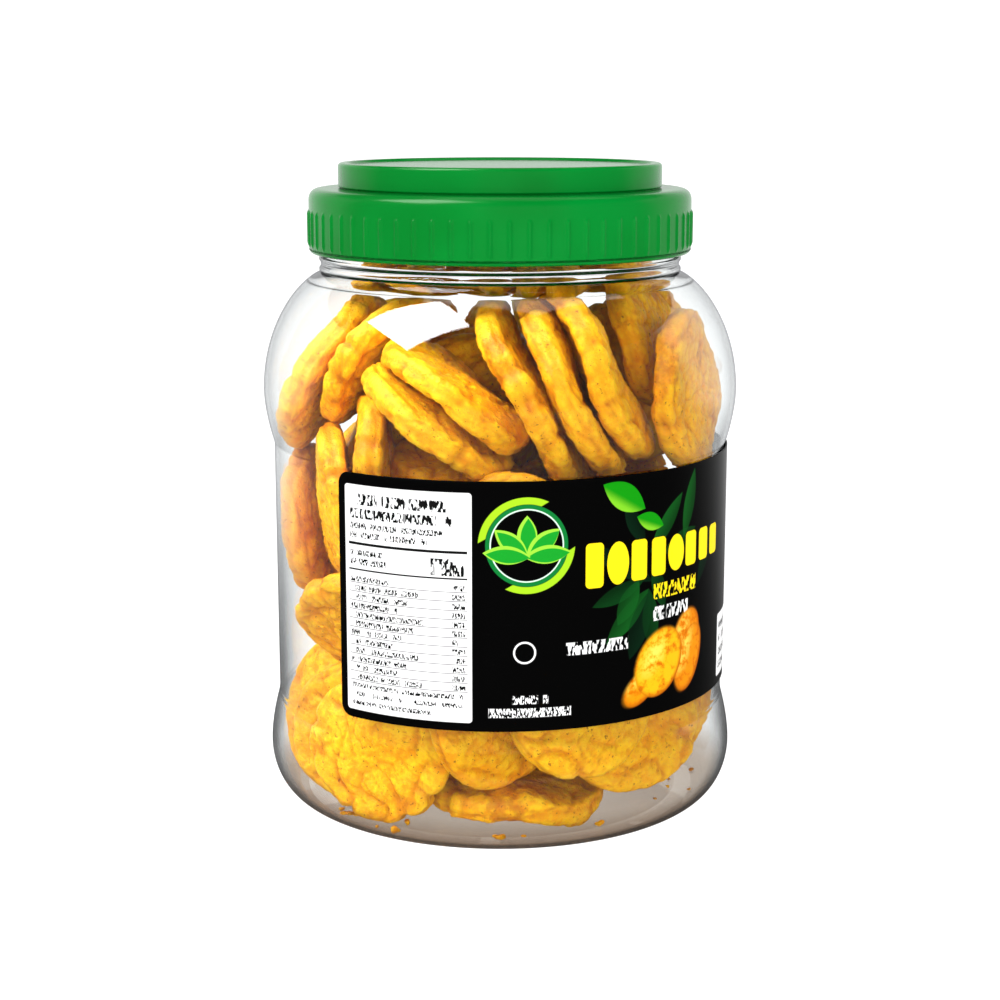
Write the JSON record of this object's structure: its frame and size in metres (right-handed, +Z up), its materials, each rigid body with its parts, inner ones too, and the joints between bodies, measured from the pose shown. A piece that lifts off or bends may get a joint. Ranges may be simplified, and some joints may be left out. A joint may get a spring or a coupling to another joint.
{
  "type": "jar of tostones",
  "caption": "Clear plastic wide-mouth jar with a green two-tier screw lid and a dark wrap label, full of golden fried plantain discs.",
  "frame": {"origin": "centre of the jar's standing ring, on the surface it stands on", "axes": "+Z up along the jar's axis, -Y towards the front of the label, +X to the right seen from the front"},
  "size_m": [0.1404, 0.1404, 0.189],
  "materials": {
    "clear_plastic": "clear glossy blown plastic",
    "green_plastic": "moulded semi-gloss plastic",
    "label_film": "printed glossy film",
    "fried_plantain": "lumpy fried surface with a slight oily sheen"
  },
  "bodies": {
    "root": {"jar": "clear_plastic", "lid": "green_plastic", "label": "label_film", "tostone_01": "fried_plantain", "tostone_02": "fried_plantain", "tostone_03": "fried_plantain", "tostone_04": "fried_plantain", "tostone_05": "fried_plantain", "tostone_06": "fried_plantain", "tostone_07": "fried_plantain", "tostone_08": "fried_plantain", "tostone_09": "fried_plantain", "tostone_10": "fried_plantain", "tostone_11": "fried_plantain", "tostone_12": "fried_plantain", "tostone_13": "fried_plantain", "tostone_14": "fried_plantain", "tostone_15": "fried_plantain", "tostone_16": "fried_plantain", "tostone_17": "fried_plantain", "tostone_18": "fried_plantain", "tostone_19": "fried_plantain", "tostone_20": "fried_plantain", "tostone_21": "fried_plantain", "tostone_22": "fried_plantain", "tostone_23": "fried_plantain", "tostone_24": "fried_plantain", "tostone_25": "fried_plantain", "tostone_26": "fried_plantain", "tostone_27": "fried_plantain", "tostone_28": "fried_plantain", "tostone_29": "fried_plantain", "tostone_30": "fried_plantain", "tostone_31": "fried_plantain", "tostone_32": "fried_plantain", "tostone_33": "fried_plantain", "tostone_34": "fried_plantain", "tostone_35": "fried_plantain", "tostone_36": "fried_plantain", "tostone_37": "fried_plantain", "tostone_38": "fried_plantain", "tostone_39": "fried_plantain", "tostone_40": "fried_plantain", "tostone_41": "fried_plantain", "tostone_42": "fried_plantain", "tostone_43": "fried_plantain", "tostone_44": "fried_plantain", "tostone_45": "fried_plantain", "tostone_46": "fried_plantain", "tostone_47": "fried_plantain", "tostone_48": "fried_plantain", "tostone_49": "fried_plantain", "tostone_50": "fried_plantain", "tostone_51": "fried_plantain", "tostone_52": "fried_plantain", "tostone_53": "fried_plantain", "tostone_54": "fried_plantain", "tostone_55": "fried_plantain", "tostone_56": "fried_plantain", "tostone_57": "fried_plantain"}
  },
  "joints": []
}
